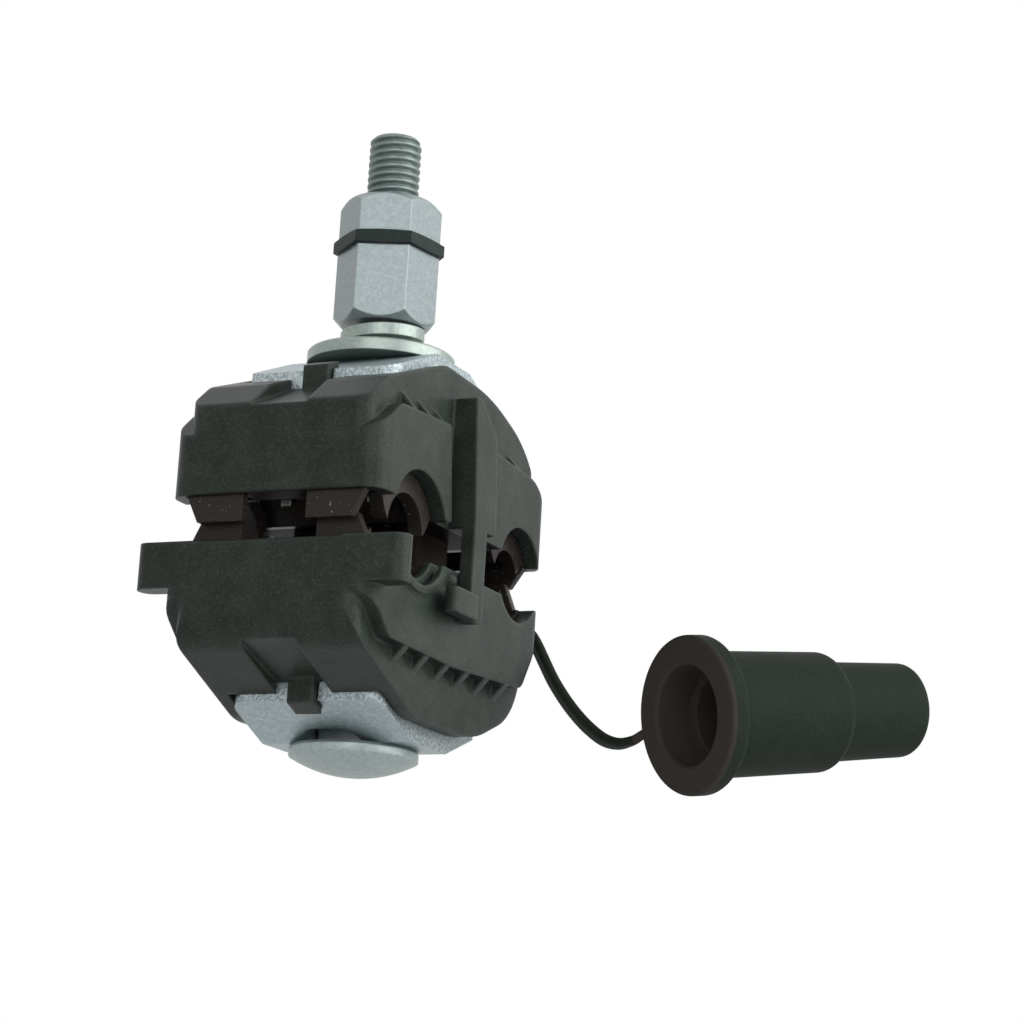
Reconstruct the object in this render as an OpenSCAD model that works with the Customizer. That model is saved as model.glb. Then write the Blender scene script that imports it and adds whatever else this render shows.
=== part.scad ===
// Insulation piercing connector: two moulded jaws drawn together by a bolt and a shear nut.
// Conductors lie along X. The bolt stands along Z, with the shear nut on top.
// The origin lies on the main conductor's axis, half way along the jaws.

/* [Layout] */
// Distance from the bolt to the main conductor's axis
main_offset = 21; // [20.5:0.25:22]
// Distance from the bolt to the tap conductor's axis
tap_offset = 22; // [21:0.25:23]
// Gap between the jaws as delivered
jaw_gap = 8.5; // [8:0.25:10]
// Height of the tap conductor's axis above the main one
tap_rise = 1; // [0:0.25:2]
// How far the upper jaw can still travel towards the lower one
closing_travel = 7.5; // [6:0.25:7.5]

/* [Jaw bodies] */
// Half the length of the jaw bodies along the conductors
jaw_half = 18.5; // [17.5:0.25:20]
// Distance from the bolt to the main face
main_face = 38; // [37:0.25:40]
// Distance from the bolt to the tap face
tap_face = 33.5; // [33:0.25:36]
// Height of the upper jaw at the bolt
upper_height = 29.6; // [28:0.2:32]
// Height of the lower jaw at the bolt
lower_height = 28.2; // [27:0.2:31]
// Height of the upper jaw's main face
upper_face = 16.5; // [15:0.25:18]
// Height of the lower jaw's main face
lower_face = 17.5; // [16:0.25:19]
// Radius of the upper shoulder over the tap trough
upper_shoulder = 24; // [20:0.5:24]
// Radius of the lower shoulder under the tap trough
lower_shoulder = 14; // [12:0.5:16]
// Half width of the flat crown that carries the plate
crown_half = 8; // [7.5:0.25:10]
// Radius of the upright corners of the jaws
corner_r = 3; // [1.5:0.25:4]

/* [End blocks] */
// How far the end blocks stand out of the jaw bodies
block_out = 3; // [2:0.25:4]
// Height of the upper end blocks above the gap
upper_block = 18; // [16:0.25:20]
// Depth of the lower end blocks below the gap
lower_block = 17.5; // [16.5:0.25:19]
// Radius of the arch for the main conductor
main_arch = 11; // [10:0.25:11.5]
// Radius of the arch for the tap conductor
tap_arch = 9.2; // [8.5:0.1:9.5]
// Height of the triangular gussets on the end blocks
gusset_high = 3; // [2:0.25:4]
// Thickness of a gusset
gusset_thick = 1.8; // [1.2:0.1:2.4]
// Distance between gussets
gusset_pitch = 6.75; // [6:0.25:7.25]
// Distance from the main face to the first gusset
gusset_in = 12.4; // [11:0.2:13]
// Inner radius of the outer rib round the main conductor
collar_r = 9.9; // [9:0.1:10.3]
// How far that rib stands out of the end block
collar_out = 0.9; // [0.5:0.1:1.5]
// Width of the groove between the two ribs
collar_groove = 0.8; // [0.5:0.1:1.2]

/* [Guide legs and lugs] */
// How far the guide legs stand out of the jaw bodies
leg_out = 6; // [5:0.25:7]
// How far a guide leg leans in towards its top
leg_lean = 1.2; // [0.5:0.1:2]
// Width of a guide leg at its root
leg_wide = 8.75; // [8:0.25:11]
// Width of a guide leg's tongue
tongue_wide = 5; // [4:0.25:6]
// How far the tongue hangs below the upper jaw
tongue_drop = 17.5; // [14:0.25:20]
// Length of a hooked foot across the conductors
foot_long = 9; // [6:0.25:10]
// How far the lugs stand out of the lower jaw body
lug_out = 8.75; // [6:0.25:9.5]
// Height of a lug
lug_high = 8.5; // [7:0.25:11]
// Depth of a lug across the conductors
lug_deep = 5; // [4:0.25:5.5]
// Half length of the guide boss round the bolt
boss_half = 13; // [11:0.25:14]
// Depth of the guide boss below the upper jaw
boss_drop = 9.5; // [9:0.25:10]
// Clearance between the jaws' sliding faces
guide_clear = 0.3; // [0.2:0.05:0.5]

/* [Pressure plates] */
// Half the length of a plate along the conductors
plate_half = 15.5; // [14:0.25:16.5]
// Reach of the lower plate's wings and the upper plate's tap wing from the bolt
plate_wide = 20.5; // [19:0.25:22]
// Reach of the upper plate's main wing from the bolt
upper_wing = 23.5; // [21:0.25:24]
// Thickness of a plate
plate_thick = 3.5; // [2.5:0.1:4]
// Half width of a plate's flat middle
plate_flat = 7; // [6:0.25:7.5]
// Bend of a plate's wings
plate_bend = 22; // [18:0.5:23]
// Width of the moulded tabs that hold the plates
tab_wide = 5.2; // [4:0.2:7]
// Depth of the notches in the plates for the tabs
tab_deep = 2.4; // [1.5:0.1:3]
// How far a tab stands out of the plate
tab_proud = 1.2; // [0.6:0.1:2]
// Width of the ramp that leads to a tab
ramp_wide = 11.5; // [10:0.5:15]
// How far the ramp dips below the edge of the main face
ramp_dip = 0.8; // [0.4:0.1:1.6]
// Clearance round a plate's edges
plate_clear = 0.25; // [0.15:0.05:0.4]

/* [Bolt and nut] */
// Diameter of the bolt
bolt_d = 10; // [9.5:0.1:10.5]
// Length of thread that shows above the nut
thread_over = 13.2; // [10:0.1:18]
// Diameter of the domed head
head_d = 24.2; // [22:0.2:26]
// Height of the domed head
head_high = 5.3; // [4:0.1:6]
// Length of the square neck
neck_length = 6.5; // [5.5:0.25:8]
// Pitch of the thread
thread_pitch = 1.5; // [1.25:0.25:1.75]
// Radial clearance of the bolt in the jaws and washers
bolt_clear = 0.4; // [0.3:0.05:0.6]
// Half the length of the slot for the neck in the lower plate
slot_half = 11.5; // [9:0.25:12]
// Radial clearance of the nut on the bolt
nut_clear = 0.05; // [0.03:0.01:0.09]
// Diameter of the flat washer
washer_d = 28.2; // [26:0.2:30]
// Thickness of the flat washer
washer_thick = 2.5; // [2:0.1:3]
// Diameter of the spring washer
spring_d = 16.2; // [15.5:0.1:18]
// Thickness of the spring washer
spring_thick = 2.3; // [2:0.1:2.6]
// Rise of the spring washer over its one turn
spring_rise = 2.9; // [2:0.1:3.2]
// Slit between the spring washer's ends, in degrees
spring_slit = 16; // [8:1:24]
// Direction of the spring washer's slit
spring_turn = 25; // [0:1:60]
// Width of the nut across its flats
nut_flats = 17; // [16:0.1:18]
// Height of the lower hexagon
nut_low = 14.5; // [12:0.25:17]
// Height of the neck that shears
nut_neck = 2.7; // [2:0.1:3.5]
// Height of the upper hexagon
nut_high = 7.8; // [6:0.1:9]
// Diameter of the neck that shears
nut_neck_d = 13.4; // [12.6:0.1:14.5]
// Turn of the hexagon about the bolt
nut_turn = 20.6; // [0:0.2:60]
// Width of the torque ring across its flats
ring_flats = 18.6; // [17.8:0.1:19.5]

/* [Seals] */
// Radius of the troughs that hold the main seals
main_trough = 12; // [11.8:0.1:12.3]
// Radius of the smallest main conductor
main_seat_r = 7; // [6.5:0.1:8]
// Radius of the troughs that hold the tap seals
tap_trough = 10; // [9.8:0.1:10.2]
// Radius of the smallest tap conductor
tap_seat_r = 5; // [4.5:0.1:6]
// Thickness of the seals' sleeves
sleeve_thick = 1.6; // [1.2:0.1:1.8]
// Thickness of the seals' end walls
wall_thick = 2.8; // [2:0.1:3]
// Thickness of the skirts that close the main mouth
skirt_thick = 1.8; // [1.4:0.1:2]
// Half width of the open middle of the main mouth
mouth_half = 6.5; // [6:0.25:8]

/* [Contact blades] */
// Distance from the bolt to the contact blades along the conductors
blade_place = 9; // [8.5:0.25:9.5]
// How far a blade reaches past the conductors' axes
blade_past = 6; // [5:0.25:6.5]
// Thickness of a contact blade
blade_thick = 2; // [1.6:0.1:2.4]
// Height of a contact blade's bar
blade_bar = 5; // [4:0.25:5.5]
// Radius from the conductor's axis to the tips of the teeth
tooth_clear = 1.2; // [0.8:0.1:1.6]
// Clearance round a contact blade
blade_clear = 0.15; // [0.1:0.05:0.25]

/* [End cap] */
// Diameter of the cap's flange
flange_d = 30; // [28:0.25:32]
// Thickness of the cap's flange
flange_thick = 4; // [3:0.25:5]
// Diameter of the wide part of the cap
cap_wide = 24; // [22:0.25:25]
// Length of the cap's wide part with the flange
cap_wide_length = 31; // [28:0.5:34]
// Diameter of the narrow part of the cap
cap_narrow = 19.2; // [17:0.2:20]
// Length of the whole cap
cap_length = 52; // [48:0.5:56]
// Radius of the cap's bore
cap_bore = 9.4; // [9:0.1:9.8]
// Depth of the cap's wide bore
cap_bore_deep = 8; // [7:0.5:12]
// Radius of the cap's narrow bore
cap_inner = 6; // [5:0.1:6.6]
// Thickness of the cap's closed end
cap_floor = 2.5; // [2:0.25:4]
// Direction of the cap's axis seen from above
cap_yaw = 57; // [50:0.5:64]
// Rise of the cap's axis towards its closed end
cap_pitch = 9; // [0:0.5:15]
// Width of the tether strap
strap_wide = 4; // [3:0.25:5]
// Thickness of the tether strap
strap_thick = 1.8; // [1.4:0.1:2.2]

/* [Hidden] */
$fn = 64;

jaw_black = "#30322f";
rubber_black = "#262927";
galvanised = "#a4abab";
zinc_steel = "#8f9a97";
nut_metal = "#aab3b5";
tinned_copper = "#c9c3b4";

far = 200;
eps = 0.01;
bolt_r = bolt_d / 2;
bolt_hole = bolt_r + bolt_clear;
main_z = jaw_gap / 2;
tap_z = main_z + tap_rise;
upper_top = jaw_gap + upper_height;
upper_plate_top = upper_top + plate_thick;
lower_plate_low = -lower_height - plate_thick;
end_face = jaw_half + block_out;
washer_low = upper_plate_top;
spring_low = washer_low + washer_thick;
spring_high = spring_thick + spring_rise;
nut_seat = 0.2;
nut_base = spring_low + spring_high + nut_seat;
neck_base = nut_base + nut_low;
upper_hex_base = neck_base + nut_neck;
bolt_length = upper_hex_base + nut_high + thread_over - lower_plate_low;

// Skirts of the upper and lower seals stand behind each other and pass as the jaws close.
skirt_skin = 1.3;
skirt_apart = 0.5;
upper_skirt_y = -main_face + skirt_skin;
lower_skirt_y = upper_skirt_y + skirt_thick + skirt_apart;
skirt_lap = 0.6;
bar_rise = 9.6;
skirt_root = closing_travel - main_z + 2 * skirt_lap;
skirt_end = jaw_half - 0.5;
skirt_taper = 2.4;
skirt_bridge = 0.9;
skirt_heel_y = -main_offset - sqrt(pow(main_trough - sleeve_thick / 2, 2) - pow(main_z, 2));
lower_skirt_x = mouth_half + skirt_bridge + 0.3;

// Plan of the guide legs and the boss, from the bolt
leg_y = -4.6;
boss_y0 = -7;
boss_y1 = 9;
peg_r = 1.5;
peg_y = leg_y - guide_clear - peg_r - 1.8;
peg_z = -2.2;
cap_mouth = [56, 24.5, -22];
cap_draft = 0.5;
cap_shoulder = 1.6;
cap_step = 6;
cap_mid = (cap_bore + cap_inner) / 2;
cap_lead = 0.5;

// Points along the tether strap, from the jaw to the flange of the cap
strap_route = [[8, 33.5, -3.6], [8.3, 35, -3.5], [9.4, 36.6, -3.2], [11.2, 37.8, -2.6], [13.4, 38.2, -2.2],
    [15.6, 37.9, -2.4], [17.6, 37.3, -3.6], [19.4, 36.8, -6], [21.2, 36.4, -9], [23.4, 36, -12.6],
    [26.2, 35.7, -16.4], [29.2, 35.5, -19.8], [32.3, 35.3, -22.6], [35.4, 35.1, -24.6],
    [38.4, 35, -25.3], [41.2, 34.8, -24.8], [43.4, 34.6, -23.7], [45.4, 34.5, -22.6]];

// Corners given as [x, y, radius] become an outline with round corners.
function unit(v) = v / norm(v);
function flat(p) = [p.x, p.y];
function corner_arc(a, b, c, r, n) =
    let (u = unit(a - b), v = unit(c - b), half = acos(u * v) / 2, reach = r / tan(half))
    let (centre = b + unit(u + v) * r / sin(half), from = b + u * reach - centre)
    let (to = b + v * reach - centre, start = atan2(from.y, from.x))
    let (sweep = atan2(from.x * to.y - from.y * to.x, from * to))
    [for (i = [0 : n]) centre + r * [cos(start + sweep * i / n), sin(start + sweep * i / n)]];
function rounded(corners, n = 6) =
    let (last = len(corners) - 1)
    [for (i = [0 : last])
        let (a = flat(corners[i == 0 ? last : i - 1]), b = flat(corners[i]))
        let (c = flat(corners[i == last ? 0 : i + 1]), r = corners[i].z)
        each (r > 0 ? corner_arc(a, b, c, r, n) : [b])];

// Places a shape modelled from the bolt's axis in the part's own frame.
module from_bolt() translate([0, main_offset, -main_z]) children();
module along_x(x0, x1) translate([x0, 0, 0]) rotate([90, 0, 90]) linear_extrude(x1 - x0) children();
module along_y(y0, y1) translate([0, y1, 0]) rotate([90, 0, 0]) linear_extrude(y1 - y0) children();
module both_ends() for (side = [0, 1]) mirror([side, 0, 0]) children();
module rod_x(y, z, r, half) translate([-half, y, z]) rotate([0, 90, 0]) cylinder(r = r, h = 2 * half);
module main_rod(r, half) rod_x(-main_offset, main_z, r, half);
module tap_rod(r, half) rod_x(tap_offset, tap_z, r, half);
module above(z) translate([-far / 2, -far / 2, z]) cube(far);
module below(z) translate([-far / 2, -far / 2, z - far]) cube(far);

// Upright prism of the jaws' plan, with round corners.
module plan(half, corner) translate([0, 0, -far / 2]) linear_extrude(far)
    polygon(rounded([[-half, -main_face, corner], [half, -main_face, corner],
        [half, tap_face, corner], [-half, tap_face, corner]]));

// Bent plate seen from its end, from its inner face outwards; z is up from the inner face's flat.
function wing_drop(reach) = (reach - plate_flat) * tan(plate_bend);
module plate_profile(main_edge, tap_edge, low, high)
    polygon([[-main_edge, low - wing_drop(main_edge)], [-plate_flat, low], [plate_flat, low],
        [tap_edge, low - wing_drop(tap_edge)], [tap_edge, high - wing_drop(tap_edge)],
        [plate_flat, high], [-plate_flat, high], [-main_edge, high - wing_drop(main_edge)]]);
module bent_plate(main_wing) difference() {
    intersection() {
        along_x(-plate_half, plate_half) plate_profile(main_wing, plate_wide, 0, plate_thick);
        translate([0, 0, -far / 2]) linear_extrude(far)
            polygon(rounded([[-plate_half, -main_wing, corner_r], [plate_half, -main_wing, corner_r],
                [plate_half, plate_wide, corner_r], [-plate_half, plate_wide, corner_r]]));
    }
    for (edge = [-main_wing, plate_wide])
        translate([-tab_wide / 2 - plate_clear, edge - tab_deep, -far / 2])
            cube([tab_wide + 2 * plate_clear, 2 * tab_deep, far]);
    translate([0, 0, -eps]) children();
}

// Room for a plate in a jaw, open outwards.
module plate_room(main_wing) along_x(-plate_half - plate_clear, plate_half + plate_clear)
    plate_profile(main_wing + plate_clear, plate_wide + plate_clear, 0, 3 * plate_thick);

// Moulded tab that stands in a plate's notch, with the ramp before it cut away.
module tabs(main_wing) for (way = [[-1, main_wing], [1, plate_wide]])
    along_x(-tab_wide / 2, tab_wide / 2)
        let (y0 = way.y - tab_deep + plate_clear, y1 = way.y + tab_stand)
        let (z0 = -wing_drop(y0), z1 = -wing_drop(y1), top = plate_thick + tab_proud)
        polygon([[way.x * y0, z0 - tab_root], [way.x * y1, z1 - 2 * tab_root],
            [way.x * y1, z1 + top], [way.x * y0, z0 + top]]);
tab_stand = 1.6;
tab_root = 2;

// Ramp from the main face up to a plate's edge; face_drop is the main face's edge below the plate's flat.
module ramp(main_wing, face_drop) along_x(-ramp_wide / 2, ramp_wide / 2)
    let (y0 = main_wing + plate_clear - eps)
    polygon([[-y0, -wing_drop(y0)], [-main_face - 1, -face_drop - ramp_dip],
        [-main_face - 1, far], [-y0, far]]);

// Triangular web between an end block and the jaw body; dir is 1 upwards or -1 downwards.
module gusset(y, z, dir) translate([0, y, z]) along_y(-gusset_thick / 2, gusset_thick / 2)
    polygon([[jaw_half - 1, -dir], [end_face - 0.3, -dir], [end_face - 0.3, 0],
        [jaw_half, dir * gusset_high], [jaw_half - 1, dir * gusset_high]]);

// Slots for the contact blades, from a bar's back to the open troughs.
module blade_slots(z0, z1) both_ends()
    translate([blade_place - blade_thick / 2 - blade_clear, -main_offset - blade_past - blade_clear, z0])
    cube([blade_thick + 2 * blade_clear, main_offset + tap_offset + 2 * (blade_past + blade_clear), z1 - z0]);

upper_bar = jaw_gap + bar_rise;
lower_bar = -boss_drop - 1.2;
tooth_root = 1;
tooth_half = 1.5;

module upper_jaw() color(jaw_black) from_bolt() {
    difference() {
        union() {
            intersection() {
                along_x(-jaw_half, jaw_half) upper_profile();
                plan(jaw_half, corner_r);
            }
            both_ends() intersection() {
                union() {
                    along_x(block_root, end_face) upper_main_block();
                    along_x(block_root, end_face) upper_tap_block();
                }
                plan(end_face, corner_r + 1);
            }
            both_ends() for (i = [0 : 2])
                gusset(main_gusset_y + i * gusset_pitch, jaw_gap + upper_block - 0.5, 1);
            both_ends() gusset(tap_offset - 1.5, jaw_gap + upper_block - 1, 1);
            both_ends() guide_leg();
            guide_boss();
        }
        main_rod(main_trough, jaw_half);
        main_rod(main_arch, far);
        tap_rod(tap_trough, jaw_half);
        tap_rod(tap_arch, far);
        translate([0, 0, upper_top]) plate_room(upper_wing);
        translate([0, 0, upper_top]) ramp(upper_wing, upper_height - upper_face);
        cylinder(r = bolt_hole, h = far, center = true);
        blade_slots(jaw_gap, upper_bar + blade_bar + blade_clear);
        both_ends() skirt_room(jaw_gap - eps, jaw_gap + skirt_root);
    }
    translate([0, 0, upper_top]) tabs(upper_wing);
}
// Shoulders rise past the plate's inner face, so that the plate lies sunk between them.
module upper_profile() polygon(rounded([[-main_face, jaw_gap, 0.8], [tap_face, jaw_gap, 0.8],
    [tap_face, upper_top - 12.5, 8], [tap_face - 7, upper_top - 5.4, upper_shoulder],
    [crown_half + 3, upper_top - 0.2, 2 * upper_shoulder], [-crown_half - 1, upper_top + 0.6, 10],
    [-main_face + 7, upper_top - 7.5, 6], [-main_face, jaw_gap + upper_face, 2]], 8));
block_root = jaw_half - corner_r - 0.5;
main_gusset_y = -main_face + gusset_in;
module upper_main_block() polygon(rounded([[-main_face, jaw_gap, 0.6], [-8.6, jaw_gap, 0.6],
    [-11, jaw_gap + upper_block, 1], [-main_face + 7, jaw_gap + upper_block - 1.2, 2],
    [-main_face, jaw_gap + upper_block - 7, 1.5]]));
module upper_tap_block() polygon(rounded([[leg_y + leg_wide, jaw_gap, 0.6], [tap_face, jaw_gap, 0.6],
    [tap_face, jaw_gap + upper_block - 7, 6], [tap_face - 6, jaw_gap + upper_block - 1.5, 9],
    [leg_y + leg_wide, jaw_gap + upper_block, 0.6]]));

// Leg that straddles the jaws at each end, with a tongue and a hooked foot; it leans in towards its top.
module guide_leg() {
    leg_face = jaw_half + leg_out;
    tongue_in = end_face + guide_clear;
    tongue_low = jaw_gap - tongue_drop;
    leg_top = upper_top - 4.6;
    foot_high = 4.6;
    intersection() {
        along_x(block_root, leg_face) polygon(rounded([[leg_y, jaw_gap, 0.6],
            [leg_y + leg_wide, jaw_gap, 0.6], [leg_y + leg_wide, jaw_gap + upper_block + 1, 3],
            [leg_y + 2.2, leg_top, 0.5], [leg_y, leg_top, 0.5]]));
        along_y(-far, far) polygon([[0, jaw_gap - 1], [leg_face, jaw_gap - 1],
            [leg_face, jaw_gap + 2], [leg_face - leg_lean, leg_top + 1], [0, leg_top + 1]]);
    }
    along_x(tongue_in, leg_face) polygon(rounded([[leg_y, tongue_low, 0.5],
        [leg_y + tongue_wide, tongue_low, 1.5], [leg_y + tongue_wide, jaw_gap + 1.8, 0],
        [leg_y, jaw_gap + 1.8, 0]]));
    translate([0, 0, tongue_low]) linear_extrude(foot_high)
        polygon(rounded([[peg_room, leg_y - foot_long, 1], [leg_face + 1.4, leg_y - foot_long, 1],
            [leg_face + 1.4, leg_y + 1.2, 1.6], [peg_room, leg_y + 1.2, 0]]));
}
peg_room = end_face + peg_r + guide_clear;

// Boss round the bolt that dips into the lower jaw's pocket.
module guide_boss() translate([0, 0, jaw_gap - boss_drop]) linear_extrude(boss_drop + 1)
    boss_plan(0);
module boss_plan(room) polygon(rounded([[-boss_half - room, boss_y0 - room, 2],
    [boss_half + room, boss_y0 - room, 2], [boss_half + room, boss_y1 + room, 2],
    [-boss_half - room, boss_y1 + room, 2]]));

// Room behind a jaw's main lip for the skirt it carries and for the one that comes towards it.
module skirt_room(z0, z1) translate([mouth_half - guide_clear, upper_skirt_y - guide_clear, z0])
    cube([skirt_end - mouth_half + 2 * guide_clear, skirt_heel_y - upper_skirt_y + 2 * guide_clear, z1 - z0]);

module lower_jaw() color(jaw_black) from_bolt() {
    difference() {
        union() {
            intersection() {
                along_x(-jaw_half, jaw_half) polygon(rounded([[-main_face, 0, 0.8],
                    [-main_face, -lower_face, 8], [-crown_half - 5, -lower_height, 12],
                    [crown_half + 4, -lower_height, 2 * lower_shoulder],
                    [tap_face - 5, -lower_height + 7, lower_shoulder], [tap_face, -6, 20],
                    [tap_face, 0, 0.8]], 8));
                plan(jaw_half, corner_r);
            }
            both_ends() intersection() {
                along_x(block_root, end_face) lower_end_block();
                plan(end_face, corner_r + 1);
            }
            both_ends() for (y = lower_gussets) gusset(y, lower_edge(y), -1);
            both_ends() lug();
            both_ends() side_peg();
            strap_boss();
        }
        main_rod(main_trough, jaw_half);
        main_rod(main_arch, far);
        tap_rod(tap_trough, jaw_half);
        tap_rod(tap_arch, far);
        mirror([0, 0, 1]) translate([0, 0, lower_height]) plate_room(plate_wide);
        mirror([0, 0, 1]) translate([0, 0, lower_height]) ramp(plate_wide, lower_height - lower_face);
        cylinder(r = bolt_hole, h = far, center = true);
        translate([0, 0, -lower_height + neck_length - plate_thick - far / 2]) neck_hole();
        translate([0, 0, jaw_gap - boss_drop - closing_travel - 0.8]) linear_extrude(far)
            boss_plan(guide_clear);
        blade_slots(lower_bar - blade_bar - blade_clear, 0);
        both_ends() skirt_room(-skirt_root, eps);
    }
    mirror([0, 0, 1]) translate([0, 0, lower_height]) tabs(plate_wide);
    both_ends() main_collar();
}
// Slot of the lower plate, which lets the plate rock on the bolt's neck
module neck_slot() translate([0, 0, -far / 2]) linear_extrude(far)
    let (half = bolt_r + bolt_clear) polygon(rounded([[-half, -slot_half, 3], [half, -slot_half, 3],
        [half, slot_half, 3], [-half, slot_half, 3]]));
// Square hole that the bolt's neck stands in
module neck_hole() cube([bolt_d + 2 * bolt_clear, bolt_d + 2 * bolt_clear, far], center = true);
// Lower edge of the lower end blocks, which the gussets hang from: highest at the ends, lowest at the middle
block_front = -main_face + 8;
block_mid = -3;
block_back = tap_face - 8;
function lower_edge(y) = y < block_mid
    ? -lower_block + 0.5 * (block_mid - y) / (block_mid - block_front)
    : -lower_block + 1.4 * (y - block_mid) / (block_back - block_mid);
module lower_end_block() polygon(rounded([[-main_face, 0, 0.6], [-main_face, -lug_high - 1.5, 2],
    [block_front, lower_edge(block_front), 3], [block_mid, -lower_block, 4],
    [block_back, lower_edge(block_back), 3], [tap_face - 1.5, -6, 2], [tap_face, 0, 0.6]]));
lower_gussets = [for (i = [0 : 5]) main_gusset_y + 3 + i * 1.25 * gusset_pitch];

module lug() translate([0, 0, -lug_high]) linear_extrude(lug_high)
    polygon(rounded([[block_root, -main_face, 0], [jaw_half + lug_out, -main_face, lug_deep / 2 - 0.1],
        [jaw_half + lug_out, -main_face + lug_deep, lug_deep / 2 - 0.1],
        [block_root, -main_face + lug_deep, 0]]));

// Domed peg above the guide leg's foot
module side_peg() translate([end_face, peg_y, peg_z]) intersection() {
    sphere(r = peg_r);
    translate([-1, -far / 2, -far / 2]) cube(far);
}
// Two ribs round the main conductor in the end block's arch, with a groove between them
module collar_rib(x0, x1, inner, top) along_x(x0, x1) intersection() {
    difference() {
        translate([-main_offset, main_z]) circle(r = main_arch + 0.3);
        translate([-main_offset, main_z]) circle(r = inner);
    }
    translate([-far / 2, top - far]) square(far);
}
module main_collar() {
    collar_rib(jaw_half + 0.3, end_face - collar_groove - 0.4, collar_r - 1.4, 0);
    collar_rib(end_face - 0.4, end_face + collar_out, collar_r, -1.3);
}
// Boss on the tap face that the tether strap is moulded to
module strap_boss() along_y(tap_face - 3, tap_face) translate([strap_route[0].x, strap_route[0].z])
    square([strap_wide + 3, strap_thick + 3], center = true);

module lower_plate() color(galvanised) from_bolt() mirror([0, 0, 1]) translate([0, 0, lower_height])
    bent_plate(plate_wide) neck_slot();
module upper_plate() color(galvanised) from_bolt() translate([0, 0, upper_top])
    bent_plate(upper_wing) cylinder(r = bolt_hole, h = far, center = true);

// Domed head with a square neck; the shank ends in a chamfer.
module bolt() color(zinc_steel) from_bolt() translate([0, 0, lower_plate_low]) {
    rim = 2;
    edge = 0.6;
    dome_r = (pow(head_d / 2, 2) + pow(head_high - rim, 2)) / (2 * (head_high - rim));
    half = asin(head_d / 2 / dome_r);
    rotate_extrude() polygon(concat([[0, 0], [head_d / 2 - edge, 0], [head_d / 2, -edge], [head_d / 2, -rim]],
        [for (i = [0 : 10]) let (a = half * (1 - i / 10))
            [dome_r * sin(a), -head_high + dome_r * (1 - cos(a))]]));
    translate([-bolt_r, -bolt_r, -eps]) cube([bolt_d, bolt_d, neck_length - 0.4]);
    translate([0, 0, -eps]) cylinder(r = bolt_r, h = bolt_length - thread_pitch);
    translate([0, 0, bolt_length - thread_pitch - 2 * eps])
        cylinder(r1 = bolt_r, r2 = bolt_r - 0.73 * thread_pitch, h = thread_pitch);
}
module flat_washer() color(galvanised) from_bolt() translate([0, 0, washer_low]) difference() {
    edge = 0.4;
    rotate_extrude() polygon([[0, 0], [washer_d / 2, 0], [washer_d / 2, washer_thick - edge],
        [washer_d / 2 - edge, washer_thick], [0, washer_thick]]);
    cylinder(r = bolt_hole, h = far, center = true);
}

// One turn of a square bar that climbs from one end of the slit to the other.
module spring_washer() color(zinc_steel) from_bolt() translate([0, 0, spring_low]) rotate(spring_turn) {
    steps = 48;
    inner = bolt_hole;
    outer = spring_d / 2;
    ring = [for (i = [0 : steps])
        let (a = spring_slit / 2 + (360 - spring_slit) * i / steps, z = spring_rise * i / steps)
        each [for (c = [[inner, 0], [outer, 0], [outer, spring_thick], [inner, spring_thick]])
            [c.x * cos(a), c.x * sin(a), z + c.y]]];
    sides = [for (i = [0 : steps - 1], k = [0 : 3]) let (n = (k + 1) % 4)
        each [[4 * i + k, 4 * i + 4 + n, 4 * i + n], [4 * i + k, 4 * i + 4 + k, 4 * i + 4 + n]]];
    polyhedron(ring, concat(sides, [[0, 1, 2], [0, 2, 3]],
        [[4 * steps, 4 * steps + 2, 4 * steps + 1], [4 * steps, 4 * steps + 3, 4 * steps + 2]]));
}

// Hexagon with its corners turned off at one end; turned is the height of that chamfer.
module hexagon(flats, high, low_cut, high_cut) intersection() {
    cylinder(r = flats / sqrt(3), h = high, $fn = 6);
    rotate_extrude() polygon([[0, 0], [flats / 2 - 0.35, 0], [flats / sqrt(3) + 0.1, low_cut],
        [flats / sqrt(3) + 0.1, high - high_cut], [flats / 2 - 0.35, high], [0, high]]);
}
module shear_nut() color(nut_metal) from_bolt() translate([0, 0, nut_base]) rotate(nut_turn)
difference() {
    union() {
        hexagon(nut_flats, nut_low, 1.8, eps);
        translate([0, 0, nut_low - eps]) cylinder(d = nut_neck_d, h = nut_neck + 2 * eps);
        translate([0, 0, nut_low + nut_neck]) hexagon(nut_flats, nut_high, eps, 1.6);
    }
    cylinder(r = bolt_r + nut_clear, h = far, center = true);
}
module torque_ring() color(rubber_black) from_bolt() translate([0, 0, neck_base]) rotate(nut_turn)
difference() {
    hexagon(ring_flats, nut_neck, 0.3, 0.3);
    translate([0, 0, -1]) cylinder(d = nut_neck_d, h = far);
}

// Half of a main seal: a sleeve in the trough, an end wall at each end and two skirts.
module seal_sleeve(trough, half) difference() {
    rotate([0, 90, 0]) cylinder(r = trough, h = 2 * half, center = true);
    rotate([0, 90, 0]) cylinder(r = trough - sleeve_thick, h = far, center = true);
}
// End walls hang past the jaw's lip as far as the opposite trough has room for them when it closes.
module seal_walls(trough, seat, x0, dir) both_ends() along_x(x0, x0 + wall_thick) difference() {
    intersection() {
        circle(r = trough - 0.05);
        translate([0, dir * (closing_travel + 0.5)]) circle(r = trough - sleeve_thick - 0.3);
        translate([-far / 2, dir > 0 ? 0.4 : -far - 0.4]) square(far);
    }
    circle(r = seat);
}
module blade_gaps() both_ends()
    translate([blade_place - blade_thick / 2 - guide_clear, -teeth_half, -far / 2])
    cube([blade_thick + 2 * guide_clear, 2 * teeth_half, far]);
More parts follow.
